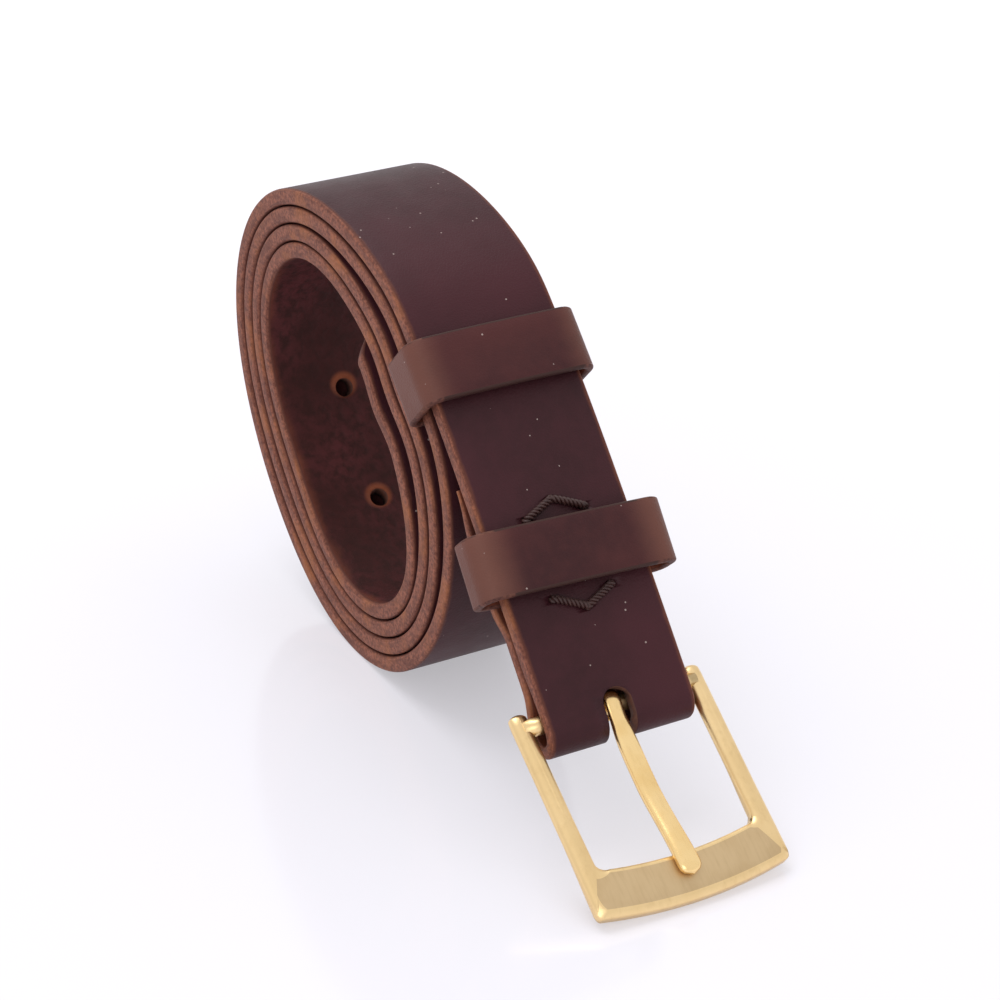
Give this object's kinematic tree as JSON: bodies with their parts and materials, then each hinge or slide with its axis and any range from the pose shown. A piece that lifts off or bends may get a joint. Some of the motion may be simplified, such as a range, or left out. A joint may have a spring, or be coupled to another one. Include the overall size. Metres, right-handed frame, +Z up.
{
  "type": "leather belt",
  "caption": "Rolled-up leather trouser belt with a single-prong brass buckle, a laced-in fixed keeper and a sliding free keeper.",
  "frame": {"origin": "on the table under the middle of the roll, where the roll's rim stands", "axes": "+Z up, +X from the roll towards the buckle, +Y across the strap's width"},
  "size_m": [0.1713, 0.0432, 0.0994],
  "materials": {
    "strap_leather": "semi-matt full-grain, burnished brown edges",
    "keeper_leather": "semi-matt full-grain",
    "waxed_thread": "waxed, twisted",
    "brass": "brushed antique brass"
  },
  "bodies": {
    "strap": {"strap": "strap_leather", "fixed_keeper": "keeper_leather", "lacing": "waxed_thread"},
    "buckle": {"buckle_frame": "brass"},
    "prong": {"prong": "brass"},
    "free_keeper": {"free_keeper": "keeper_leather"}
  },
  "joints": [
    {"name": "buckle_turn", "type": "hinge", "parent": "strap", "child": "buckle", "pos_m": [0.0892, 0, 0.02497], "axis": [0, 1, 0], "range_deg": [-12, 75]},
    {"name": "prong_swing", "type": "hinge", "parent": "buckle", "child": "prong", "pos_m": [0.0892, 0, 0.02497], "axis": [0, 1, 0], "range_deg": [-45, 0]},
    {"name": "free_keeper_slide", "type": "slide", "parent": "strap", "child": "free_keeper", "axis": [0.7314, 0, -0.682], "range_m": [-0.004, 0.001]}
  ]
}
